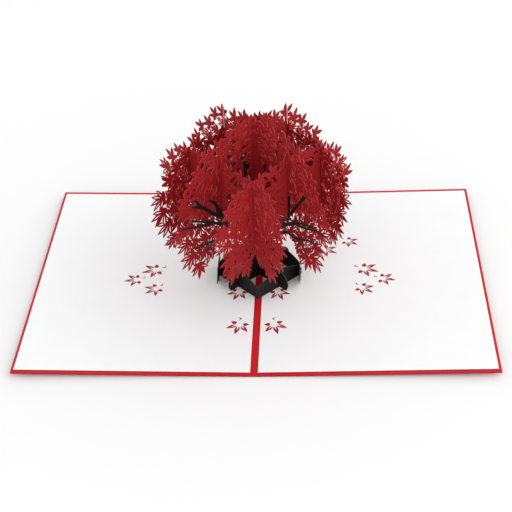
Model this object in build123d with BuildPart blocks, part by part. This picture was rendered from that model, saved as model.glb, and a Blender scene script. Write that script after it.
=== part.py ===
from build123d import *
import os
from math import atan2, cos, degrees, hypot, radians, sin, sqrt, tan

# Pop-up card with a maple tree, lying open on a table, in millimetres.
# X runs across the open card, Y from its front edge to its back edge, Z up.
# The origin is the middle of the spine strip, on the table.

# Card sheets
card_width = 127.0
card_depth = 178.0
cover_thickness = 0.45
panel_thickness = 0.3
spine_width = 4.0
side_border = 1.5
end_border = 2.5
wing_rise = 1.05

# Slotted sheets of the tree
sheet_thickness = 0.3
slot_clearance = 0.1
seat_gap = 0.05

# Base lattice, whose crossings lie base_step apart along X and Y.
# The folded strips have a height at the fold, at the middle of an arm and at the side tab.
base_step = 11.65
front_strip_heights = (7.3, 11.1, 6.3)
back_strip_heights = (8.2, 12.5, 8.2)
tree_strip_height = 10.7
ear_length = 7.2
ear_belly = 3.3
ear_toe = 1.4
slot_eye_radius = 0.8

# Side tabs
tab_length = 30.4
tab_height = 8.6
tab_tip_level = 4.2
foot_length = 12.0
tongue_height = 1.6
front_tongue_level = 1.2
back_tongue_level = 4.2
tongue_reach = 0.5

# Crown lattice, whose crossings lie crown_step apart along X and Y
crown_step = 17.5
tree_lap_level = 50.0
outer_lap_level = 70.0
corner_lap_level = 62.0
crown_top = 112.0

# Leaf sprays on the rim of a lace sheet
rim_leaf_size = 9.4
rim_leaf_pitch = 14.4
rim_leaf_droop = 0.35
gap_inset = 6.0
gap_pitch = 18.0
gap_length = 6.0
gap_width = 1.7

# Half outlines of the lace sheets, from the middle of the top round to the middle below.
# Each point is a distance along the sheet from its middle, and a height over the table.
centre_rim = [(0, 96), (22, 96), (34, 88), (44, 77), (51, 65), (53, 53), (51, 42),
              (47, 31), (41, 31), (35, 41), (23, 47), (8, 45), (0, 44)]
outer_rim = [(0, 82), (24, 81), (36, 76), (45, 68), (47, 58), (43, 47), (42, 37),
             (38, 31), (31, 32), (25, 41), (15, 53), (0, 57)]

# Palmate leaf: lobe directions off the leaf's aim, and lobe lengths over its size
lobe_angles = [-104, -50, 0, 50, 104]
lobe_lengths = [0.6, 0.88, 1.0, 0.88, 0.6]
notch_radius = 0.3
stalk_angle = 150
stalk_radius = 0.3

# Leaf windows of the right inner panel: place of the leaf's middle, aim and size
leaf_windows = [(9.4, -46.2, 285, 9.0), (11.0, -16.4, 290, 8.4), (70.1, -5.6, 347, 7.8),
                (59.8, 4.2, 340, 9.2), (58.1, -14.0, 320, 8.0), (51.2, 33.0, 326, 7.4),
                (37.6, 24.5, 330, 8.4), (24.6, 27.0, 345, 8.4)]
window_hub = 0.22
window_width = 0.3
window_shoulder = 0.45
stem_angle = 160
stem_bow = 9
stem_start = 0.36
stem_end = 0.68
stem_width = 0.09

# Boughs of the tree sheets, one list for each half that grows differently.
# Each has points from the trunk outwards, given as distance along the sheet and height, and first and last width.
front_left_boughs = [
    ([(1, 33), (14, 43.5), (26, 52), (40, 65.5), (43.5, 71)], 3.2, 1.2),
    ([(38, 64), (45.7, 67.8)], 2.0, 1.0),
    ([(24, 50), (28.2, 58.5), (29.8, 63), (34, 66.9)], 3.4, 0.9),
    ([(1, 30), (23, 46), (32, 51.8), (46.4, 59.3)], 3.0, 0.9),
    ([(31, 51.3), (42, 54), (53.3, 57.3)], 1.8, 0.8),
    ([(1, 24), (20, 37), (32.9, 40.3), (45.9, 41.2)], 2.6, 0.9),
    ([(30, 39.8), (38, 36)], 1.4, 0.8),
    ([(3.6, 48), (6.5, 60), (7.8, 80)], 3.0, 1.3),
]
front_right_boughs = [
    ([(1, 33), (14, 43.5), (24.5, 51.5), (30, 59), (34.5, 65.3)], 3.0, 1.1),
    ([(33.8, 64.3), (36.4, 68), (37.8, 70.2)], 1.2, 2.4),
    ([(23.8, 49.5), (25.3, 55), (25.5, 61), (26.6, 66)], 2.6, 1.2),
    ([(1, 30), (23, 46), (31, 51.2), (42.9, 53.6)], 3.0, 0.9),
    ([(29, 49.6), (38, 50.4), (46, 52.6), (52.8, 51.9)], 1.8, 0.8),
    ([(1, 24), (14, 35), (23.4, 41.4), (31.6, 40.4)], 2.6, 1.4),
    ([(30.6, 40.3), (40.2, 43.6), (45.5, 43.3)], 1.3, 0.8),
    ([(30.6, 40.7), (35.8, 37.6), (38.5, 34.5)], 1.3, 0.8),
    ([(3.6, 48), (6.5, 60), (7.8, 78)], 3.0, 1.3),
]
back_boughs = [
    ([(1, 33), (10, 46), (20.0, 63), (21.2, 68), (22.3, 74)], 3.6, 2.2),
    ([(12, 49), (30, 60), (41, 69)], 2.4, 1.0),
    ([(1, 28), (24, 45), (34, 51), (50, 56)], 3.0, 0.9),
    ([(1, 24), (25, 40), (45, 42)], 2.6, 0.9),
    ([(3.6, 48), (6.2, 62), (7.4, 84)], 3.4, 1.6),
    ([(6.6, 70), (11.5, 76)], 1.8, 1.0),
]

# Half outline of the trunk, as distance from the middle and height over the trunk's foot, which is set in the strip
trunk_outline = [(9, 0), (5.2, 9), (4.4, 21), (4.6, 35), (4, 49)]
trunk_setting = 1.7

spine_half = spine_width / 2
wing_length = card_width - spine_half
wing_angle = radians(wing_rise)
base_corner = 2 * base_step
base_crossing = base_step * sqrt(2)
crown_crossing = crown_step * sqrt(2)
wing_stack = cover_thickness + panel_thickness
slot_width = sheet_thickness + 2 * slot_clearance
double_slot_width = 2 * sheet_thickness + 2 * slot_clearance


def panel_top(x):
    """Height of a white panel's upper face at a distance x from the spine's middle."""
    return wing_stack / cos(wing_angle) + (x - spine_half) * tan(wing_angle)


strip_foot = panel_top(base_corner) + seat_gap


def upright(x, y, along_x, along_y):
    """Vertical plane through (x, y), with its sketch axes along the sheet and up."""
    return Plane(origin=(x, y, 0), x_dir=(along_x, along_y, 0), z_dir=(along_y, -along_x, 0))


def polar(angle, radius):
    """Offset of a point at an angle in degrees."""
    return radius * cos(radians(angle)), radius * sin(radians(angle))


def leaf_outline(x, y, aim, size):
    """Points of a palmate leaf about (x, y), with a pointed lobe at each lobe angle."""
    points = [polar(aim - stalk_angle, stalk_radius * size)]
    for index, (angle, length) in enumerate(zip(lobe_angles, lobe_lengths)):
        if index:
            points.append(polar(aim + (angle + lobe_angles[index - 1]) / 2, notch_radius * size))
        points.append(polar(aim + angle, length * size))
    points.append(polar(aim + stalk_angle, stalk_radius * size))
    return [(x + dx, y + dy) for dx, dy in points]


def lobe_window(x, y, angle, length, size):
    """Points of one pointed lobe cut through a panel."""
    hub = window_hub * size
    shoulder = hub + window_shoulder * (length - hub)
    half = window_width * size / 2
    profile = [(length, 0), (shoulder, half), (hub, 0), (shoulder, -half)]
    across = angle + 90
    return [(x + polar(angle, r)[0] + polar(across, w)[0], y + polar(angle, r)[1] + polar(across, w)[1])
            for r, w in profile]


def stem_window(x, y, aim, size):
    """Points of the slim bowed stem slit, opposite the leaf's middle lobe."""
    middle = (stem_start + stem_end) / 2 * size
    spread = degrees(stem_width * size / 2 / middle)
    bend = aim + stem_angle + stem_bow
    corners = [polar(aim + stem_angle, stem_start * size), polar(bend - spread, middle),
               polar(aim + stem_angle, stem_end * size), polar(bend + spread, middle)]
    return [(x + dx, y + dy) for dx, dy in corners]


def gap_outline(x, y, aim):
    """Points of a slim pointed gap between two leaves."""
    corners = [polar(aim, gap_length / 2), polar(aim + 90, gap_width / 2),
               polar(aim, -gap_length / 2), polar(aim - 90, gap_width / 2)]
    return [(x + dx, y + dy) for dx, dy in corners]


def polygons(outlines, mode):
    """Adds or cuts all the given outlines in the open sketch."""
    add([Polygon(*outline, align=None, mode=Mode.PRIVATE) for outline in outlines], mode=mode)


def rim_places(rim, pitch, inset):
    """Evenly spaced (x, z, aim) along a half rim, moved inwards, with both mirror images."""
    places = []
    left_over = pitch / 2
    for (x0, z0), (x1, z1) in zip(rim, rim[1:]):
        run = hypot(x1 - x0, z1 - z0)
        out_x, out_z = (z0 - z1) / run, (x1 - x0) / run
        aim = degrees(atan2(out_z - rim_leaf_droop, out_x))
        while left_over < run:
            share = left_over / run
            x = x0 + share * (x1 - x0) - inset * out_x
            z = z0 + share * (z1 - z0) - inset * out_z
            places += [(x, z, aim), (-x, z, 180 - aim)]
            left_over += pitch
        left_over -= run
    return places


def limb_outline(points, first_width, last_width):
    """Points of a bough that tapers along its course."""
    left, right = [], []
    last = len(points) - 1
    for index, (x, z) in enumerate(points):
        x0, z0 = points[max(index - 1, 0)]
        x1, z1 = points[min(index + 1, last)]
        run = hypot(x1 - x0, z1 - z0)
        half = (first_width + (last_width - first_width) * index / last) / 2
        left.append((x - (z1 - z0) / run * half, z + (x1 - x0) / run * half))
        right.append((x + (z1 - z0) / run * half, z - (x1 - x0) / run * half))
    return left + right[::-1]


# Red cover: one card sheet with a flat spine strip between two creases, its wings rising slightly
wing_run = wing_length * cos(wing_angle)
wing_lift = wing_length * sin(wing_angle)
skin_x = cover_thickness * sin(wing_angle)
skin_z = cover_thickness * cos(wing_angle)
crease_x = spine_half - cover_thickness * tan(wing_angle / 2)
with BuildPart() as cover:
    with BuildSketch(Plane.XZ):
        with BuildLine():
            Polyline(
                (-spine_half, 0), (spine_half, 0), (spine_half + wing_run, wing_lift),
                (spine_half + wing_run - skin_x, wing_lift + skin_z), (crease_x, cover_thickness),
                (-crease_x, cover_thickness), (-spine_half - wing_run + skin_x, wing_lift + skin_z),
                (-spine_half - wing_run, wing_lift), close=True,
            )
        make_face()
    extrude(amount=card_depth / 2, both=True)
cover.part.label = "cover"
export = [(cover, "cover")]

# White inner panels: one on each wing, with the leaf windows and the slit for the side tab's foot
wing_face = Plane(
    origin=(spine_half - skin_x, 0, skin_z),
    x_dir=(cos(wing_angle), 0, sin(wing_angle)),
    z_dir=(-sin(wing_angle), 0, cos(wing_angle)),
)
panel_length = wing_length - side_border
slit_place = (base_corner - spine_half) / cos(wing_angle) + wing_stack * sin(wing_angle)
with BuildPart() as right_inner_panel:
    with BuildSketch(wing_face):
        with Locations((panel_length / 2 + seat_gap, 0)):
            Rectangle(panel_length, card_depth - 2 * end_border)
        with Locations((slit_place, 0)):
            Rectangle(slot_width + 2 * slot_clearance, foot_length + 2 * slot_clearance, mode=Mode.SUBTRACT)
        windows = []
        for middle_x, middle_y, aim, size in leaf_windows:
            hub_x = middle_x - spine_half
            windows.append(stem_window(hub_x, middle_y, aim, size))
            for angle, length in zip(lobe_angles, lobe_lengths):
                windows.append(lobe_window(hub_x, middle_y, aim + angle, length * size, size))
        polygons(windows, Mode.SUBTRACT)
    extrude(amount=panel_thickness)
with BuildPart() as left_inner_panel:
    mirror(right_inner_panel.part, about=Plane.YZ)
export += [(right_inner_panel, "right_inner_panel"), (left_inner_panel, "left_inner_panel")]


def fold_strip(side, heights, tongue_level):
    """Black strip folded over the spine at the front (-1) or back (1) of the base lattice."""
    tab_face = base_corner - sheet_thickness / 2 - slot_clearance
    leg_end = tab_face * sqrt(2) - sheet_thickness / 2
    tongue_end = (base_corner + sheet_thickness / 2 + tongue_reach) * sqrt(2)
    fold = -sheet_thickness / 2
    fold_top, crest, end_top = [strip_foot + height for height in heights]
    with BuildPart() as strip:
        for way in (1, -1):
            with BuildSketch(upright(0, side * base_corner, way, -side)):
                with BuildLine():
                    Polyline((fold, fold_top), (fold, strip_foot), (leg_end, strip_foot), (leg_end, end_top))
                    ThreePointArc((leg_end, end_top), (leg_end / 2, crest), (fold, fold_top))
                make_face()
                with Locations(((leg_end + tongue_end) / 2, strip_foot + tongue_level)):
                    Rectangle(tongue_end - leg_end + sheet_thickness, tongue_height)
                with Locations((base_crossing, strip_foot)):
                    Rectangle(slot_width, tree_strip_height, mode=Mode.SUBTRACT)
                with Locations((base_crossing, strip_foot + tree_strip_height / 2)):
                    Circle(slot_eye_radius, mode=Mode.SUBTRACT)
            extrude(amount=sheet_thickness / 2, both=True)
    return strip


front_fold_strip = fold_strip(-1, front_strip_heights, front_tongue_level)
back_fold_strip = fold_strip(1, back_strip_heights, back_tongue_level)
export += [(front_fold_strip, "front_fold_strip"), (back_fold_strip, "back_fold_strip")]

# Side tabs: a slim leaf along the card's depth, whose tips stand off the panel and whose foot is in its slit
foot_level = panel_top(base_corner) - panel_thickness / cos(wing_angle) + seat_gap
eye_width = sheet_thickness * (1 + sqrt(2)) + 2 * slot_clearance
tab_half = tab_length / 2
tab_tip = strip_foot + tab_tip_level
with BuildPart() as right_side_tab:
    with BuildSketch(upright(base_corner, 0, 0, 1)):
        with BuildLine():
            Polyline((tab_half, tab_tip), (foot_length / 2, strip_foot), (-foot_length / 2, strip_foot),
                     (-tab_half, tab_tip))
            ThreePointArc((-tab_half, tab_tip), (0, strip_foot + tab_height), (tab_half, tab_tip))
        make_face()
        with Locations((0, (foot_level + strip_foot) / 2)):
            Rectangle(foot_length, strip_foot - foot_level)
        for level in (front_tongue_level, back_tongue_level):
            with Locations((0, strip_foot + level)):
                Rectangle(eye_width, tongue_height + 2 * slot_clearance, mode=Mode.SUBTRACT)
    extrude(amount=sheet_thickness / 2, both=True)
with BuildPart() as left_side_tab:
    mirror(right_side_tab.part, about=Plane.YZ)
export += [(right_side_tab, "right_side_tab"), (left_side_tab, "left_side_tab")]


def tree_sheet(along_y, slot_from_top, left_boughs, right_boughs):
    """Black sheet through the middle: base strip whose ears round off to the foot, trunk and boughs."""
    strip_top = strip_foot + tree_strip_height
    trunk = [(x, strip_top - trunk_setting + z) for x, z in trunk_outline]
    ear_tip = base_crossing + ear_length
    ear_level = strip_foot + ear_belly
    ear_shoulder = (base_crossing + ear_length * sqrt(0.5), ear_level + (strip_top - ear_level) * sqrt(0.5))
    with BuildPart() as tree:
        with BuildSketch(upright(0, 0, 1, along_y)) as outline:
            with BuildLine():
                Polyline((0, strip_top), (0, strip_foot), (ear_tip - ear_toe, strip_foot), (ear_tip, ear_level))
                ThreePointArc((ear_tip, ear_level), ear_shoulder, (base_crossing, strip_top))
                Line((base_crossing, strip_top), (0, strip_top))
            make_face()
            mirror(about=Plane.YZ)
            limbs = [trunk + [(-x, z) for x, z in trunk[::-1]]]
            for side, boughs in ((1, right_boughs), (-1, left_boughs)):
                for course, first_width, last_width in boughs:
                    limbs.append(limb_outline([(side * x, z) for x, z in course], first_width, last_width))
            polygons(limbs, Mode.ADD)
            with Locations(*[(side * base_crossing, strip_top) for side in (1, -1)]):
                Rectangle(slot_width, tree_strip_height, mode=Mode.SUBTRACT)
            middle_slot(slot_from_top)
        extrude(outline.sketch.faces().sort_by(SortBy.AREA)[-1], amount=sheet_thickness / 2, both=True)
    return tree


def middle_slot(from_top):
    """Slot for the other large sheet, above the lap level or below it, wide enough for card and lace."""
    shift = sheet_thickness / 2 if from_top else -sheet_thickness / 2
    level = (tree_lap_level + crown_top) / 2 if from_top else 0
    height = crown_top - tree_lap_level if from_top else 2 * tree_lap_level
    with Locations((shift, level)):
        Rectangle(double_slot_width, height, mode=Mode.SUBTRACT)


def lace_outline(rim):
    """Lace sheet before its slots: the body inside the rim, its rim of leaves and the gaps inside."""
    body = rim + [(-x, z) for x, z in rim[-2:0:-1]]
    leaves = [leaf_outline(x, z, aim, rim_leaf_size) for x, z, aim in rim_places(rim, rim_leaf_pitch, 0)]
    polygons([body] + leaves, Mode.ADD)
    polygons([gap_outline(x, z, aim) for x, z, aim in rim_places(rim, gap_pitch, gap_inset)], Mode.SUBTRACT)


def centre_crown_sheet(along_y, slot_from_top):
    """Large red lace sheet, glued on the back of a tree sheet."""
    glue_face = upright(0, 0, 1, along_y).offset(-sheet_thickness / 2)
    with BuildPart() as lace:
        with BuildSketch(glue_face) as outline:
            lace_outline(centre_rim)
            middle_slot(slot_from_top)
            for side in (1, -1):
                with Locations((side * crown_crossing, (outer_lap_level + crown_top) / 2)):
                    Rectangle(slot_width, crown_top - outer_lap_level, mode=Mode.SUBTRACT)
        extrude(outline.sketch.faces().sort_by(SortBy.AREA)[-1], amount=-sheet_thickness)
    return lace


def outer_crown_sheet(side, along_y):
    """Smaller red lace sheet at one side of the crown, dropped over the large sheet it crosses."""
    shift = sheet_thickness / 2 if along_y > 0 else -sheet_thickness / 2
    corner_slot_middle = (corner_lap_level + crown_top) / 2 if along_y > 0 else 0
    corner_slot_height = crown_top - corner_lap_level if along_y > 0 else 2 * corner_lap_level
    with BuildPart() as lace:
        with BuildSketch(upright(side * crown_step, -side * along_y * crown_step, 1, along_y)) as outline:
            lace_outline(outer_rim)
            with Locations((shift, 0)):
                Rectangle(double_slot_width, 2 * outer_lap_level, mode=Mode.SUBTRACT)
            for way in (1, -1):
                with Locations((way * crown_crossing, corner_slot_middle)):
                    Rectangle(slot_width, corner_slot_height, mode=Mode.SUBTRACT)
        extrude(outline.sketch.faces().sort_by(SortBy.AREA)[-1], amount=sheet_thickness / 2, both=True)
    return lace


export += [
    (tree_sheet(1, True, front_left_boughs, back_boughs), "tree_sheet_a"),
    (tree_sheet(-1, False, back_boughs, front_right_boughs), "tree_sheet_b"),
    (centre_crown_sheet(1, True), "crown_sheet_a"),
    (centre_crown_sheet(-1, False), "crown_sheet_b"),
    (outer_crown_sheet(1, 1), "crown_sheet_front_right"),
    (outer_crown_sheet(-1, 1), "crown_sheet_back_left"),
    (outer_crown_sheet(-1, -1), "crown_sheet_front_left"),
    (outer_crown_sheet(1, -1), "crown_sheet_back_right"),
]

os.makedirs("parts", exist_ok=True)
for piece, name in export:
    piece.part.label = name
    export_step(piece.part, f"parts/{name}.step")
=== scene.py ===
"""Looks of an open pop-up card with a red maple tree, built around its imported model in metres."""
import random
from collections import namedtuple
from math import atan2, cos, degrees, hypot, pi, radians, sin, sqrt

import bpy
from mathutils import Matrix, Vector
from mathutils.geometry import delaunay_2d_cdt


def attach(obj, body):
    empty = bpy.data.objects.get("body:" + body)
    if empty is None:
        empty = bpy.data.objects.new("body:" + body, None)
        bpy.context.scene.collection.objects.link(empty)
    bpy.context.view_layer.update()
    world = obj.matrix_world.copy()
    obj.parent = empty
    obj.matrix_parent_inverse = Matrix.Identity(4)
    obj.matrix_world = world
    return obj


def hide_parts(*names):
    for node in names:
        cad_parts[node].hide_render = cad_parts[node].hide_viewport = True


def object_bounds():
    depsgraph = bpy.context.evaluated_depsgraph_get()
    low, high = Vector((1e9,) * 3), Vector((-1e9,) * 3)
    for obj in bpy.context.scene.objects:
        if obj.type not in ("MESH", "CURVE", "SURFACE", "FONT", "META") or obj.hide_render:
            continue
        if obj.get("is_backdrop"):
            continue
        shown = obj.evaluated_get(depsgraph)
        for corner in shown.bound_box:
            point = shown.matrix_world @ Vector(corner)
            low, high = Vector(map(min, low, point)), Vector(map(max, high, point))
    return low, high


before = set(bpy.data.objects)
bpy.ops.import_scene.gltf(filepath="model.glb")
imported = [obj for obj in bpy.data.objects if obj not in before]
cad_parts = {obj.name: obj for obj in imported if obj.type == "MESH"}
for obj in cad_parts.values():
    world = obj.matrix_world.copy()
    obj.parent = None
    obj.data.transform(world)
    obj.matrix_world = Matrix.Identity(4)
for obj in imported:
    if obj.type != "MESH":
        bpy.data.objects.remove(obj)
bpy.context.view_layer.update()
bpy.ops.object.select_all(action="DESELECT")

# The lengths below are in millimetres, as on the card's drawing
mm = 0.001

# Card sheets
cover_thickness = 0.45
panel_thickness = 0.3
card_width = 127.0
card_depth = 178.0
spine_half = 2.0
side_border = 1.5
end_border = 2.5
wing_angle = radians(1.05)
slit_length = 12.2
slit_width = 0.7
tab_place = 23.3
panel_gap = 0.05
wing_stack = cover_thickness + panel_thickness
slit_place = (tab_place - spine_half) / cos(wing_angle) + wing_stack * sin(wing_angle)

# Lace sheets
sheet_thickness = 0.3
slot_width = 0.5
double_slot_width = 0.8
crown_step = 17.5
crossing = crown_step * sqrt(2)
tree_lap_level = 50.0
outer_lap_level = 70.0
corner_lap_level = 62.0
crown_top = 112.0
glue_step = 0.15

# Plain bands of the lace sheets along their slots
middle_band_half = 2.6
centre_band_reach = (45, 94)
outer_band_reach = (58, 80)
slot_band_half = 1.6
band_of_centre = [(crossing - slot_band_half, 50), (crossing + slot_band_half, 50),
                  (crossing + slot_band_half, 92), (crossing - slot_band_half, 94)]
band_of_outer = [(14, 50), (26, 47), (26, 78), (crossing, 84), (19, 76), (15, 66)]

# Share by which each lace sheet's right end is shorter than its left one, from a little beyond the crossing
end_cut_margin = 1
centre_end_cut = 0.14
end_cuts = {"crown_sheet_front_right": 0.2, "crown_sheet_back_left": 0.0,
            "crown_sheet_front_left": 0.15, "crown_sheet_back_right": 0.2}

# Points that lie this near to a straight run of an outline are left out
straight_tolerance = 0.004

# Two kinds of triangulation, and how near two points of a sheet or of its rim have to be to count as one
whole_hull = 0
within_outlines = 1
sheet_nearness = 1e-5
rim_nearness = 1e-6

# Half outlines of the lace sheets: distance along the sheet and height over the table
centre_rim = [(0, 96), (22, 96), (34, 88), (44, 77), (51, 65), (53, 53), (50, 42),
              (46, 30), (40, 30), (35, 41), (23, 47), (8, 45), (0, 44)]
outer_rim = [(0, 82), (24, 81), (36, 76), (44, 68), (46, 58), (43, 47), (41, 39),
             (38, 34), (31, 35), (25, 44), (15, 54), (0, 58)]

# Half outlines of their dense middles, and the largest reach of the chinks in them
centre_core = [(0, 85), (16, 86), (27, 80), (35, 71), (40, 62), (40, 52), (38, 45), (33, 42), (28, 46),
               (20, 50), (8, 48), (0, 47)]
outer_core = [(0, 76), (18, 76), (29, 72), (36, 65), (37, 57), (35, 49), (33, 43), (29, 41), (24, 47),
              (15, 57), (0, 61)]
centre_chink = 2.7
outer_chink = 2.1

# Leaves of the lace: they grow away from one middle and hang a little. Angles are in degrees, and pairs
# are the least and the most of a random share or step.
growth_middle = 58.0
growth_squash = 0.8
leaf_droop = 0.6
rim_droop = 0.35
leaf_size = 9.5
rim_pitch = 9.8
rim_pitch_spread = (0.85, 1.15)
rim_size_spread = (0.9, 1.12)
rim_step_out = (-2.4, 1.0)
rim_turn = 18
ring_pitch = 9.6
ring_pitch_spread = (0.88, 1.12)
ring_size_spread = (0.84, 1.0)
ring_share = 0.87
ring_scatter = 0.8
ring_turn = 24
lobe_angles = [-102, -68, -34, 0, 34, 68, 102]
lobe_lengths = [0.5, 0.76, 0.94, 1.0, 0.94, 0.76, 0.5]
lobe_half_width = 0.14
lobe_turn = 5
lobe_length_spread = (0.92, 1.08)
hub_radius = 0.285
flat_hub_radius = 0.8
flat_hub_turn = 120
leaf_margin = 0.55
margin_reach = 0.92
slit_share = 0.65
least_slit_lobe = 0.6
slit_half_width = 0.044
slit_reach = (0.26, 0.84)
stem_half_width = 0.35
stem_length = 0.9
stem_turn = 15

# The rim is bare under each crossing, where the outline faces down by more than this slope
bare_half_width = 5.5
bare_slope = -0.3
bare_step = 1.0

# Small stars on top, where the outline faces up by more than this slope
star_slope = 0.5
star_share = 0.68
star_pitch_share = 0.8
star_step = 2
star_angles = [-110, -56, 0, 56, 110]
star_lengths = [0.7, 0.9, 1.0, 0.9, 0.7]
star_half_width = 0.19

# Small cuts that draw the veins of leaves in the dense middle of the lace
vein_pitch = 7.6
vein_row_share = 0.86
vein_scatter = 1.2
vein_reach = 60.0
vein_heights = (26.0, 100)
vein_size_spread = (0.85, 1.05)
vein_turns = [-90, -60, -30, 0, 30, 60, 90]
vein_share = 0.7
vein_start = (0.3, 0.45)
vein_length = (0.16, 0.38)
vein_side_shortening = 0.6
vein_half_width = 0.42
vein_width_spread = (0.6, 1.2)
chinks_per_leaf = 3
least_chink = 0.4
chink_turn = 110
chink_distance = (0.35, 0.55)
chink_tail = 1.5
chink_width = 0.62

# Long leaf-shaped openings under the top of the outer sheets: turn, start, end and half width about one hub
opening_hub = (12.5, 83.5)
hub_openings = [(-128, 3.0, 9.0, 1.05), (-96, 3.4, 7.6, 0.8), (-66, 3.0, 8.6, 1.0)]

# Pointed gap between the hanging leaves under each crossing of two outer sheets
notch_foot = 22.0
notch_height = 18.0
notch_half_width = 3.4

# Leaf windows of the right panel: place from the spine's middle, aim and size
leaf_windows = [(9.4, -46.2, 285, 9.0), (11.0, -16.4, 290, 8.4), (70.1, -5.6, 347, 7.8),
                (59.8, 4.2, 340, 9.2), (58.1, -14.0, 320, 8.0), (51.2, 33.0, 326, 7.4),
                (37.6, 24.5, 330, 8.4), (24.6, 27.0, 345, 8.4)]
window_angles = [-104, -50, 0, 50, 104]
window_lengths = [0.6, 0.9, 1.0, 0.9, 0.6]
window_foot = 0.22
window_half_width = 0.15
least_tongue_lobe = 0.7
tongue_share = 0.48
tongue_width = 0.34
tongue_overlap = 0.3
window_stem_turn = 158
window_stem_bow = 14
window_stem_start = 0.4
window_stem_run = 0.32
window_stem_half_width = 0.05

# Half widths of pointed shapes along their length: lobes, small cuts, leaf windows and their tongues
lobe_profile = [(0.0, 0.3), (0.3, 0.66), (0.56, 1.0), (0.78, 0.64), (1.0, 0.0)]
cut_profile = [(0.0, 0.3), (0.4, 1.0), (1.0, 0.0)]
window_profile = [(0.0, 0.3), (0.08, 0.7), (0.25, 1.0), (0.45, 0.95), (0.7, 0.6), (1.0, 0.0)]
tongue_profile = [(0.0, 1.0), (0.5, 0.75), (1.0, 0.0)]


def polar(angle, radius):
    """Offset of a point at an angle in degrees."""
    return Vector((radius * cos(radians(angle)), radius * sin(radians(angle))))


def sides_of(corners):
    """Directed sides of an outline."""
    return list(zip(corners, corners[1:] + corners[:1]))


def signed_area(outline):
    """Area of an outline, positive where it runs anticlockwise."""
    return sum(a[0] * b[1] - b[0] * a[1] for a, b in sides_of(outline)) / 2


def inside(point, outline):
    """True where a point lies inside an outline."""
    x, y = point
    within = False
    for (x0, y0), (x1, y1) in sides_of(outline):
        if (y0 > y) != (y1 > y) and x < x0 + (y - y0) / (y1 - y0) * (x1 - x0):
            within = not within
    return within


def anticlockwise(points, triangle):
    """The corners of a triangle in anticlockwise order."""
    a, b, c = triangle
    return (a, b, c) if signed_area([points[a], points[b], points[c]]) >= 0 else (a, c, b)


def rim_corners(points, triangles):
    """Directed sides of the rim and holes of a sheet, without the points along their straight runs."""
    sides = dict.fromkeys(side for t in triangles for side in sides_of(anticlockwise(points, t)))
    ways = {}
    for start, end in sides:
        if (end, start) not in sides:
            ways.setdefault(start, []).append(end)
    junctions = {start for start, ends in ways.items() if len(ends) > 1}
    rim = []
    while ways:
        loop = [next(iter(ways))]
        while len(loop) == 1 or loop[-1] != loop[0]:
            here = loop[-1]
            loop.append(ways[here].pop())
            if not ways[here]:
                del ways[here]
        loop.pop()
        corners = []
        for here, after in sides_of(loop):
            before = corners[-1] if corners else loop[-1]
            run = points[after] - points[before]
            bend = abs(run.cross(points[here] - points[before])) / max(run.length, 1e-9)
            if here in junctions or bend > straight_tolerance:
                corners.append(here)
        if len(corners) > 2:
            rim += sides_of(corners)
    return rim


def plain_triangles(points, triangles):
    """The same sheet from its rim and holes alone, with no points inside it."""
    rim = rim_corners(points, triangles)
    used = sorted({corner for side in rim for corner in side})
    index_of = {old: new for new, old in enumerate(used)}
    corners = [points[old] for old in used]
    rim = [(index_of[start], index_of[end]) for start, end in rim]
    result = delaunay_2d_cdt(corners, rim, [], whole_hull, rim_nearness)
    points, edges, triangles, _, edge_sources, _ = result
    wanted = set()
    for (a, b), over in zip(edges, edge_sources):
        for source in over:
            start, end = rim[source]
            same_way = (points[b] - points[a]).dot(corners[end] - corners[start]) > 0
            wanted.add((a, b) if same_way else (b, a))
    triangles = [anticlockwise(points, t) for t in triangles]
    triangle_at = {side: index for index, t in enumerate(triangles) for side in sides_of(t)}
    waiting = [triangle_at[side] for side in wanted if side in triangle_at]
    chosen = set()
    while waiting:
        index = waiting.pop()
        if index in chosen:
            continue
        chosen.add(index)
        for start, end in sides_of(triangles[index]):
            back = (end, start)
            if (start, end) not in wanted and back not in wanted and back in triangle_at:
                waiting.append(triangle_at[back])
    return points, [triangles[index] for index in sorted(chosen)]


def largest_piece(triangles):
    """The triangles that hang together by their sides in the largest group."""
    by_side = {}
    for index, corners in enumerate(triangles):
        for a, b in sides_of(corners):
            by_side.setdefault((min(a, b), max(a, b)), []).append(index)
    neighbours = [[] for _ in triangles]
    for pair in by_side.values():
        if len(pair) == 2:
            neighbours[pair[0]].append(pair[1])
            neighbours[pair[1]].append(pair[0])
    group_of = [None] * len(triangles)
    groups = []
    for first in range(len(triangles)):
        if group_of[first] is not None:
            continue
        members, waiting = [], [first]
        group_of[first] = len(groups)
        while waiting:
            index = waiting.pop()
            members.append(index)
            for other in neighbours[index]:
                if group_of[other] is None:
                    group_of[other] = len(groups)
                    waiting.append(other)
        groups.append(members)
    return [triangles[index] for index in max(groups, key=len)]


def cut_sheet(shapes):
    """Triangles of a flat sheet from (outline, kept) shapes, where the last shape over a place decides."""
    points, faces = [], []
    for outline, kept in shapes:
        ring = [Vector(p) for p in outline]
        if signed_area(outline) < 0:
            ring.reverse()
        faces.append(list(range(len(points), len(points) + len(ring))))
        points += ring
    points, _, triangles, _, _, sources = delaunay_2d_cdt(points, [], faces, within_outlines, sheet_nearness)
    kept = [t for t, over in zip(triangles, sources) if over and shapes[max(over)][1]]
    return plain_triangles(points, largest_piece(kept))


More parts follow.
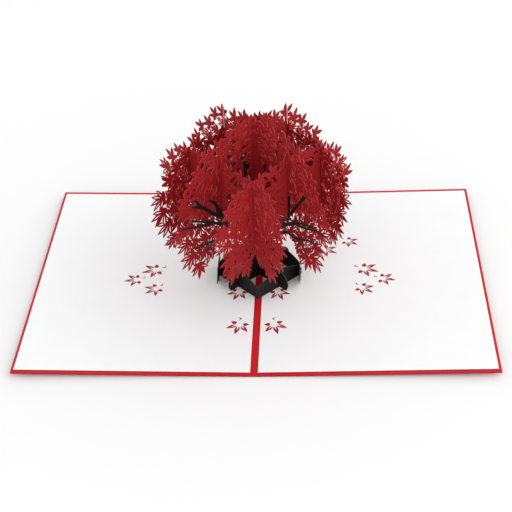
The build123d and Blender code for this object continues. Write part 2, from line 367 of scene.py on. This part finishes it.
def sheet_mesh(name, points, triangles, place, thickness, face_material, edge_material):
    """Closed mesh of a cut sheet: place(u, v, w) gives a point w above the sheet's middle plane."""
    used = sorted({corner for t in triangles for corner in t})
    index_of = {old: new for new, old in enumerate(used)}
    count = len(used)
    half = thickness / 2
    upper = [place(points[old].x, points[old].y, half) for old in used]
    lower = [place(points[old].x, points[old].y, -half) for old in used]
    faces, sides = [], {}
    for t in triangles:
        a, b, c = (index_of[corner] for corner in anticlockwise(points, t))
        faces += [(a, b, c), (a + count, c + count, b + count)]
        sides.update(dict.fromkeys(((a, b), (b, c), (c, a))))
    flat_faces = len(faces)
    for start, end in sides:
        if (end, start) not in sides:
            faces.append((start, start + count, end + count, end))
    mesh = bpy.data.meshes.new(name)
    mesh.from_pydata(upper + lower, [], faces)
    mesh.materials.append(face_material)
    mesh.materials.append(edge_material)
    mesh.polygons.foreach_set("material_index", [0] * flat_faces + [1] * (len(faces) - flat_faces))
    mesh.update()
    piece = bpy.data.objects.new(name, mesh)
    bpy.context.scene.collection.objects.link(piece)
    return piece


# Materials

# Height of a face's normal that tells the cut edges from the flat sides
edge_facing = 0.4


def paper(name, colour, second_colour, roughness, fibre_strength, edge_colour_and_painted_shade=None, lies_flat=False):
    """Coloured paper: faint cloudy change of tone, and fine fibres as bump. Its cut edges may have a colour
    of their own, the black card's own paler edge or a painted shade on the cover: they face up or down on an
    upright sheet, and sideways on one that lies flat."""
    material = bpy.data.materials.new(name)
    material.use_nodes = True
    nodes, links = material.node_tree.nodes, material.node_tree.links
    shader = nodes["Principled BSDF"]
    shader.inputs["Roughness"].default_value = roughness
    shader.inputs["Specular IOR Level"].default_value = 0.2
    place = nodes.new("ShaderNodeTexCoord")
    clouds = nodes.new("ShaderNodeTexNoise")
    clouds.inputs["Scale"].default_value = 60.0
    clouds.inputs["Detail"].default_value = 6.0
    clouds.inputs["Roughness"].default_value = 0.7
    tones = nodes.new("ShaderNodeValToRGB")
    tones.color_ramp.elements[0].position = 0.3
    tones.color_ramp.elements[0].color = (*colour, 1)
    tones.color_ramp.elements[1].position = 0.7
    tones.color_ramp.elements[1].color = (*second_colour, 1)
    fibres = nodes.new("ShaderNodeTexNoise")
    fibres.inputs["Scale"].default_value = 1800.0
    fibres.inputs["Detail"].default_value = 3.0
    bump = nodes.new("ShaderNodeBump")
    bump.inputs["Strength"].default_value = fibre_strength
    bump.inputs["Distance"].default_value = 0.00006
    links.new(place.outputs["Object"], clouds.inputs["Vector"])
    links.new(clouds.outputs["Fac"], tones.inputs["Fac"])
    if edge_colour_and_painted_shade:
        facing = nodes.new("ShaderNodeSeparateXYZ")
        steepness = nodes.new("ShaderNodeMath")
        steepness.operation = "ABSOLUTE"
        is_edge = nodes.new("ShaderNodeMath")
        is_edge.operation = "LESS_THAN" if lies_flat else "GREATER_THAN"
        is_edge.inputs[1].default_value = edge_facing
        either = nodes.new("ShaderNodeMix")
        either.data_type = "RGBA"
        either.inputs["B"].default_value = (*edge_colour_and_painted_shade, 1)
        links.new(place.outputs["Normal"], facing.inputs["Vector"])
        links.new(facing.outputs["Z"], steepness.inputs[0])
        links.new(steepness.outputs["Value"], is_edge.inputs[0])
        links.new(is_edge.outputs["Value"], either.inputs["Factor"])
        links.new(tones.outputs["Color"], either.inputs["A"])
        links.new(either.outputs["Result"], shader.inputs["Base Color"])
    else:
        links.new(tones.outputs["Color"], shader.inputs["Base Color"])
    links.new(place.outputs["Object"], fibres.inputs["Vector"])
    links.new(fibres.outputs["Fac"], bump.inputs["Height"])
    links.new(bump.outputs["Normal"], shader.inputs["Normal"])
    return material


# The lace is the same red card as the cover, but its colour is set much darker as painted shade of the
# upright lace sheets and their deep middle.
lace_red_with_painted_shade = paper("lace red paper with painted shade", (0.258, 0.005, 0.0075), (0.306, 0.0066, 0.0108),
                 roughness=0.75, fibre_strength=0.35)
lace_edge = paper("lace cut edge", (0.42, 0.045, 0.042), (0.5, 0.075, 0.07),
                  roughness=0.75, fibre_strength=0.2)
# The cover's sideways cut edges are painted dark red as painted shade: the front edge in shadow and the dark
# gap under it.
cover_red = paper("cover red card", (0.57, 0.007, 0.013), (0.63, 0.010, 0.018),
                  roughness=0.6, fibre_strength=0.3, edge_colour_and_painted_shade=(0.17, 0.005, 0.008), lies_flat=True)
white_card = paper("white card", (0.922, 0.93, 0.937), (0.942, 0.95, 0.957),
                   roughness=0.7, fibre_strength=0.25)
# Cut edges of the white panels: the brown scorch of the laser cut, made darker still as painted shade inside
# the leaf windows.
scorch_and_painted_shade_edge = paper("scorched white edge with painted shade", (0.11, 0.055, 0.04), (0.2, 0.12, 0.09),
                   roughness=0.8, fibre_strength=0.2)
black_card = paper("black card", (0.0055, 0.005, 0.004), (0.011, 0.0098, 0.0075),
                   roughness=0.55, fibre_strength=0.4, edge_colour_and_painted_shade=(0.085, 0.07, 0.055))


# Lace sheets

def half_to_whole(rim):
    """Whole outline from a half one."""
    return rim + [(-x, z) for x, z in rim[-2:0:-1]]


def shrunk(rim, share):
    """A half outline drawn in towards the middle of growth."""
    return [(x * share, growth_middle + (z - growth_middle) * share) for x, z in rim]


def shaken(value, most, chance):
    """A value with a random change of up to the most, either way."""
    return value + chance.uniform(-most, most)


def leaf_aim(x, z, chance):
    """Direction in degrees in which a leaf points: outwards from the growth middle, and drooping."""
    away = Vector((x, (z - growth_middle) * growth_squash))
    away = away.normalized() if away.length else Vector((0, -1))
    return shaken(degrees(atan2(away.y - leaf_droop, away.x)), ring_turn, chance)


def rim_leaves(rim, chance):
    """Evenly spaced (x, z, aim, size, star) of the leaves along the rim. Those on top are small stars."""
    whole = half_to_whole(rim)
    places = []
    left_over = 0.0
    for (x0, z0), (x1, z1) in sides_of(whole):
        run = hypot(x1 - x0, z1 - z0)
        out_x, out_z = (z0 - z1) / run, (x1 - x0) / run
        aim = degrees(atan2(out_z - rim_droop, out_x))
        star = out_z > star_slope
        while left_over < run:
            share = left_over / run
            place_x, place_z = x0 + share * (x1 - x0), z0 + share * (z1 - z0)
            if out_z < bare_slope and abs(abs(place_x) - crossing) < bare_half_width:
                left_over += bare_step
                continue
            step_out = chance.uniform(*rim_step_out)
            place_x, place_z = place_x + out_x * step_out, place_z + out_z * step_out
            if star:
                place_x, place_z = place_x + star_step * out_x, place_z + star_step * out_z
            size = leaf_size * chance.uniform(*rim_size_spread) * (star_share if star else 1.0)
            places.append((place_x, place_z, shaken(aim, rim_turn, chance), size, star))
            left_over += rim_pitch * chance.uniform(*rim_pitch_spread) * (star_pitch_share if star else 1.0)
        left_over -= run
    return places


def ring_leaves(half_outline, chance):
    """Leaves in a ring inside the rim, whose fans open outwards."""
    places = []
    whole = half_to_whole(half_outline)
    left_over = chance.uniform(0, ring_pitch)
    for (x0, z0), (x1, z1) in sides_of(whole):
        run = hypot(x1 - x0, z1 - z0)
        while left_over < run:
            share = left_over / run
            place_x = shaken(x0 + share * (x1 - x0), ring_scatter, chance)
            place_z = shaken(z0 + share * (z1 - z0), ring_scatter, chance)
            size = leaf_size * chance.uniform(*ring_size_spread)
            places.append((place_x, place_z, leaf_aim(place_x, place_z, chance), size, False))
            left_over += ring_pitch * chance.uniform(*ring_pitch_spread)
        left_over -= run
    return places


def vein_cuts(rim, chink_reach, chance):
    """Small pointed cuts in rays about staggered middles, with some wider chinks between them."""
    whole = half_to_whole(rim)
    cuts = []
    row = 0
    z, highest = vein_heights
    while z < highest:
        x = -vein_reach + (row % 2) * vein_pitch / 2
        while x < vein_reach:
            middle = Vector((shaken(x, vein_scatter, chance), shaken(z, vein_scatter, chance)))
            size = leaf_size * chance.uniform(*vein_size_spread)
            aim = leaf_aim(*middle, chance)
            if inside(middle, whole):
                for turn in vein_turns:
                    if chance.random() > vein_share:
                        continue
                    start = chance.uniform(*vein_start) * size
                    shortening = cos(radians(turn) * vein_side_shortening)
                    end = start + chance.uniform(*vein_length) * size * shortening
                    half_width = vein_half_width * chance.uniform(*vein_width_spread)
                    angle = shaken(aim + turn, lobe_turn, chance)
                    cuts.append(lobe_outline(middle, angle, start, end, half_width, cut_profile))
                for _ in range(chinks_per_leaf):
                    way = shaken(aim, chink_turn, chance)
                    chink = middle + polar(way, chance.uniform(*chink_distance) * size)
                    angle = chance.uniform(0, 360)
                    reach = chance.uniform(least_chink, chink_reach)
                    cuts.append(lobe_outline(chink, angle, -reach, chink_tail * reach,
                                             chink_width * reach, cut_profile))
            x += vein_pitch
        z += vein_pitch * vein_row_share
        row += 1
    return cuts


def lobe_outline(middle, angle, start, end, half_width, profile=lobe_profile):
    """Outline of a pointed lobe between two distances from the leaf's middle."""
    along, across = polar(angle, 1), polar(angle + 90, 1)
    one_side = [(start + share * (end - start), width * half_width) for share, width in profile]
    both = one_side + [(r, -w) for r, w in one_side[::-1] if w]
    return [middle + r * along + w * across for r, w in both]


def hub_outline(middle, aim, radius):
    """Rounded middle of a leaf, a little flatter at the stem."""
    outline = []
    for turn in range(-180, 180, 30):
        share = flat_hub_radius if abs(turn) > flat_hub_turn else 1
        outline.append(middle + polar(aim + turn, radius * share))
    return outline


def leaf_shapes(x, z, aim, size, star, chance):
    """Shapes of one leaf in the order of cutting: the gap about it, then lobes, hub and stem, then slits."""
    middle = Vector((x, z))
    margins, lobes, slits = [], [], []
    angles, lengths, half_share = lobe_angles, lobe_lengths, lobe_half_width
    if star:
        angles, lengths, half_share = star_angles, star_lengths, star_half_width
    for angle, length in zip(angles, lengths):
        turn = shaken(aim + angle, lobe_turn, chance)
        reach = length * size * chance.uniform(*lobe_length_spread)
        half_width = half_share * size
        margins.append(lobe_outline(middle, turn, 0, margin_reach * reach, half_width + leaf_margin))
        lobes.append(lobe_outline(middle, turn, 0, reach, half_width))
        if not star and length > least_slit_lobe and chance.random() < slit_share:
            start, end = slit_reach[0] * reach, slit_reach[1] * reach
            slits.append(lobe_outline(middle, turn, start, end, slit_half_width * size))
    margins.append(hub_outline(middle, aim, hub_radius * size + leaf_margin))
    lobes.append(hub_outline(middle, aim, hub_radius * size))
    turn = shaken(aim + 180, stem_turn, chance)
    lobes.append(lobe_outline(middle, turn, 0, stem_length * size, stem_half_width))
    return [(s, False) for s in margins] + [(s, True) for s in lobes] + [(s, False) for s in slits]


def rectangle(low_x, high_x, low_z, high_z):
    """Outline of a rectangle."""
    return [(low_x, low_z), (high_x, low_z), (high_x, high_z), (low_x, high_z)]


def slot_at(place, half_width, low, high):
    """Straight upright slot about a place along the sheet."""
    return rectangle(place - half_width, place + half_width, low, high)


def both_sides(outline):
    """An outline and its mirror image."""
    return [outline, [(-x, z) for x, z in outline]]


def lace_shapes(kind, slots, openings, seed):
    """All shapes of a lace sheet: the ground with its cuts, then leaves, openings, bands and slots."""
    chance = random.Random(seed)
    shapes = [(half_to_whole(kind.core), True)]
    shapes += [(cut, False) for cut in vein_cuts(kind.core, kind.chink_reach, chance)]
    leaves = ring_leaves(kind.core, chance)
    leaves += ring_leaves(shrunk(kind.rim, ring_share), chance)
    leaves += rim_leaves(kind.rim, chance)
    for leaf in leaves:
        shapes += leaf_shapes(*leaf, chance)
    shapes += [(opening, False) for opening in openings]
    shapes += [(rectangle(-middle_band_half, middle_band_half, *kind.band_reach), True)]
    shapes += [(band, True) for band in both_sides(kind.band)]
    return shapes + [(slot, False) for slot in slots]


def lace_sheet(name, middle, along, shift, kind, slots, openings, seed, end_cut):
    """One red lace sheet in place of its plain solid. middle is its place, shift its step off the middle
    plane, and end_cut the share by which its right end is shorter beyond the crossing."""
    normal = Vector((along.y, -along.x, 0))

    def place(u, z, w):
        beyond = max(0.0, u - crossing - end_cut_margin)
        return (middle + along * (u - end_cut * beyond) + Vector((0, 0, z)) + normal * (w + shift)) * mm

    points, triangles = cut_sheet(lace_shapes(kind, slots, openings, seed))
    return sheet_mesh(name, points, triangles, place, sheet_thickness, lace_red_with_painted_shade, lace_edge)


LaceKind = namedtuple("LaceKind", "rim core chink_reach band band_reach")
centre_lace = LaceKind(centre_rim, centre_core, centre_chink, band_of_centre, centre_band_reach)
outer_lace = LaceKind(outer_rim, outer_core, outer_chink, band_of_outer, outer_band_reach)

slot_half = slot_width / 2
double_half = double_slot_width / 2
sheets = []
for name, along_y, from_top, seed in (("crown_sheet_a", 1, True, 11), ("crown_sheet_b", -1, False, 12)):
    along = Vector((1, along_y, 0)).normalized()
    step = glue_step if from_top else -glue_step
    low, high = (tree_lap_level, crown_top) if from_top else (0, tree_lap_level)
    slots = [slot_at(step, double_half, low, high)]
    slots += [slot_at(way * crossing, slot_half, outer_lap_level, crown_top) for way in (1, -1)]
    sheets.append(lace_sheet(name + "_lace", Vector((0, 0, 0)), along, -sheet_thickness, centre_lace,
                             slots, [], seed, centre_end_cut))
    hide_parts(name)

openings = both_sides(lobe_outline(Vector((crossing, notch_foot)), 90, 0, notch_height, notch_half_width))
for turn, start, end, half_width in hub_openings:
    openings += both_sides(lobe_outline(Vector(opening_hub), turn, start, end, half_width))
for name, side, along_y in (("crown_sheet_front_right", 1, 1), ("crown_sheet_back_left", -1, 1),
                            ("crown_sheet_front_left", -1, -1), ("crown_sheet_back_right", 1, -1)):
    along = Vector((1, along_y, 0)).normalized()
    step = glue_step if along_y > 0 else -glue_step
    low, high = (corner_lap_level, crown_top) if along_y > 0 else (0, corner_lap_level)
    slots = [slot_at(step, double_half, 0, outer_lap_level)]
    slots += [slot_at(way * crossing, slot_half, low, high) for way in (1, -1)]
    middle = Vector((side * crown_step, -side * along_y * crown_step, 0))
    sheets.append(lace_sheet(name + "_lace", middle, along, 0.0, outer_lace, slots, openings,
                             21 + len(sheets), end_cuts[name]))
    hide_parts(name)
for piece in sheets:
    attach(piece, "root")


# White panels

def window_shapes(x, y, aim, size):
    """One leaf window: five pointed lobes with a white tongue in each of the longer ones, and a bowed stem
    slit.
    """
    middle = Vector((x, y))
    shapes = []
    for angle, length in zip(window_angles, window_lengths):
        start, end = window_foot * size, length * size
        half_width = window_half_width * size
        shapes.append((lobe_outline(middle, aim + angle, start, end, half_width, window_profile), False))
        if length > least_tongue_lobe:
            tongue_end = start + tongue_share * (end - start)
            shapes.append((lobe_outline(middle, aim + angle, start - tongue_overlap, tongue_end,
                                        tongue_width * half_width, tongue_profile), True))
    outer_side, inner_side = [], []
    for share in (0.0, 0.25, 0.5, 0.75, 1.0):
        radius = (window_stem_start + window_stem_run * share) * size
        turn = aim + window_stem_turn + window_stem_bow * sin(pi * share)
        half_width = window_stem_half_width * size * sin(pi * (0.06 + 0.8 * share))
        outer_side.append(middle + polar(turn + degrees(half_width / radius), radius))
        inner_side.append(middle + polar(turn - degrees(half_width / radius), radius))
    return shapes + [(outer_side + inner_side[::-1], False)]


def white_panel(name, side):
    """One white panel on its wing, in place of its plain solid."""
    skin_x = side * (spine_half - cover_thickness * sin(wing_angle))
    run = Vector((cos(wing_angle), 0, side * sin(wing_angle)))
    normal = Vector((-side * sin(wing_angle), 0, cos(wing_angle)))
    base = Vector((skin_x, 0, cover_thickness * cos(wing_angle))) + normal * panel_thickness / 2

    def place(u, v, w):
        return (base + run * u + Vector((0, v, 0)) + normal * w) * mm

    near, far = panel_gap, panel_gap + card_width - spine_half - side_border
    half_depth = card_depth / 2 - end_border
    shapes = [(rectangle(near, far, -half_depth, half_depth), True),
              (slot_at(slit_place, slit_width / 2, -slit_length / 2, slit_length / 2), False)]
    for x, y, aim, size in leaf_windows:
        shapes += window_shapes(x - spine_half, y, aim, size)
    shapes = [([(side * x, y) for x, y in outline], kept) for outline, kept in shapes]
    points, triangles = cut_sheet(shapes)
    return sheet_mesh(name, points, triangles, place, panel_thickness, white_card, scorch_and_painted_shade_edge)


for name, side in (("right_inner_panel", 1), ("left_inner_panel", -1)):
    panel = white_panel(name + "_card", side)
    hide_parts(name)
    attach(panel, "root")


# Card and black sheets

for name, material in (("cover", cover_red),
                       ("front_fold_strip", black_card), ("back_fold_strip", black_card),
                       ("left_side_tab", black_card), ("right_side_tab", black_card),
                       ("tree_sheet_a", black_card), ("tree_sheet_b", black_card)):
    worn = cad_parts[name].data.materials
    worn.clear()
    worn.append(material)


# Stage

def flat_colour(name, colour):
    """Plain matte material of one colour."""
    material = bpy.data.materials.new(name)
    material.use_nodes = True
    shader = material.node_tree.nodes["Principled BSDF"]
    shader.inputs["Base Color"].default_value = (*colour, 1)
    shader.inputs["Roughness"].default_value = 0.9
    shader.inputs["Specular IOR Level"].default_value = 0.1
    return material


bpy.ops.mesh.primitive_plane_add(size=12, location=(0, 0, -0.0002))
floor = bpy.context.object
floor.name = "table_top"
floor.data.materials.append(flat_colour("white table", (0.93, 0.93, 0.93)))
floor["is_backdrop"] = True

# Strength of the light from the tent's walls and roof, the heights on a unit sphere between which it
# changes, and the share by which it grows to the right
horizon_light = 1.86
zenith_light = 0.51
wall_top = 0.25
roof_start = 0.95
side_change = 0.3


def studio_world():
    """White for the camera and in reflections. As light, a tent with bright walls and a darker roof."""
    world = bpy.data.worlds.new("studio")
    bpy.context.scene.world = world
    world.use_nodes = True
    nodes, links = world.node_tree.nodes, world.node_tree.links
    light = nodes["Background"]
    backdrop = nodes.new("ShaderNodeBackground")
    backdrop.inputs["Color"].default_value = (1, 1, 1, 1)
    backdrop.inputs["Strength"].default_value = 1.0
    direction = nodes.new("ShaderNodeTexCoord")
    parts = nodes.new("ShaderNodeSeparateXYZ")
    height = nodes.new("ShaderNodeMapRange")
    height.interpolation_type = "SMOOTHSTEP"
    height.inputs["From Min"].default_value = wall_top
    height.inputs["From Max"].default_value = roof_start
    height.inputs["To Min"].default_value = horizon_light
    height.inputs["To Max"].default_value = zenith_light
    side = nodes.new("ShaderNodeMath")
    side.operation = "MULTIPLY_ADD"
    side.inputs[1].default_value = side_change
    side.inputs[2].default_value = 1.0
    strength = nodes.new("ShaderNodeMath")
    strength.operation = "MULTIPLY"
    path = nodes.new("ShaderNodeLightPath")
    mirrored = nodes.new("ShaderNodeMath")
    mirrored.operation = "MAXIMUM"
    seen = nodes.new("ShaderNodeMath")
    seen.operation = "MAXIMUM"
    mix = nodes.new("ShaderNodeMixShader")
    links.new(direction.outputs["Generated"], parts.inputs["Vector"])
    links.new(parts.outputs["Z"], height.inputs["Value"])
    links.new(parts.outputs["X"], side.inputs[0])
    links.new(height.outputs["Result"], strength.inputs[0])
    links.new(side.outputs["Value"], strength.inputs[1])
    links.new(strength.outputs["Value"], light.inputs["Strength"])
    light.inputs["Color"].default_value = (1, 1, 1, 1)
    links.new(path.outputs["Is Glossy Ray"], mirrored.inputs[0])
    links.new(path.outputs["Is Transmission Ray"], mirrored.inputs[1])
    links.new(path.outputs["Is Camera Ray"], seen.inputs[0])
    links.new(mirrored.outputs["Value"], seen.inputs[1])
    links.new(seen.outputs["Value"], mix.inputs["Fac"])
    links.new(light.outputs["Background"], mix.inputs[1])
    links.new(backdrop.outputs["Background"], mix.inputs[2])
    links.new(mix.outputs["Shader"], nodes["World Output"].inputs["Surface"])


studio_world()


def area_lamp(name, location, size, power):
    """Soft square lamp that shines at the foot of the tree."""
    data = bpy.data.lights.new(name, "AREA")
    data.size = size
    data.energy = power
    lamp = bpy.data.objects.new(name, data)
    bpy.context.scene.collection.objects.link(lamp)
    lamp.location = location
    lamp.rotation_euler = (lamp_target - lamp.location).to_track_quat("-Z", "Y").to_euler()


lamp_target = Vector((0, 0, 0.03))
area_lamp("front lamp", (-0.35, -1.1, 1.3), size=0.9, power=1.6)
area_lamp("right lamp", (0.9, -0.5, 1.2), size=0.9, power=1.2)

# Camera, fitted to the card's corners in the photograph
focal_pixels = 1231.814
frame_pixels = 512
sensor_width = 36
camera_place = Vector((0.032019, -0.574839, 0.412968))
camera_yaw = radians(-3.34931)
camera_pitch = radians(-34.71242)
camera_roll = radians(-2.26423)

ahead = Vector((sin(camera_yaw) * cos(camera_pitch), cos(camera_yaw) * cos(camera_pitch), sin(camera_pitch)))
level = Vector((cos(camera_yaw), -sin(camera_yaw), 0))
above = level.cross(ahead)
right = cos(camera_roll) * level + sin(camera_roll) * above
up = cos(camera_roll) * above - sin(camera_roll) * level
camera_data = bpy.data.cameras.new("camera")
camera = bpy.data.objects.new("camera", camera_data)
bpy.context.scene.collection.objects.link(camera)
camera_data.sensor_width = sensor_width
camera_data.lens = sensor_width * focal_pixels / frame_pixels
camera_data.clip_start = 0.01
camera_data.clip_end = 20
turned = Matrix((right, up, -ahead)).transposed().to_4x4()
camera.matrix_world = Matrix.Translation(camera_place) @ turned
bpy.context.scene.camera = camera
bpy.context.scene.view_settings.view_transform = "Standard"

low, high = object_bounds()
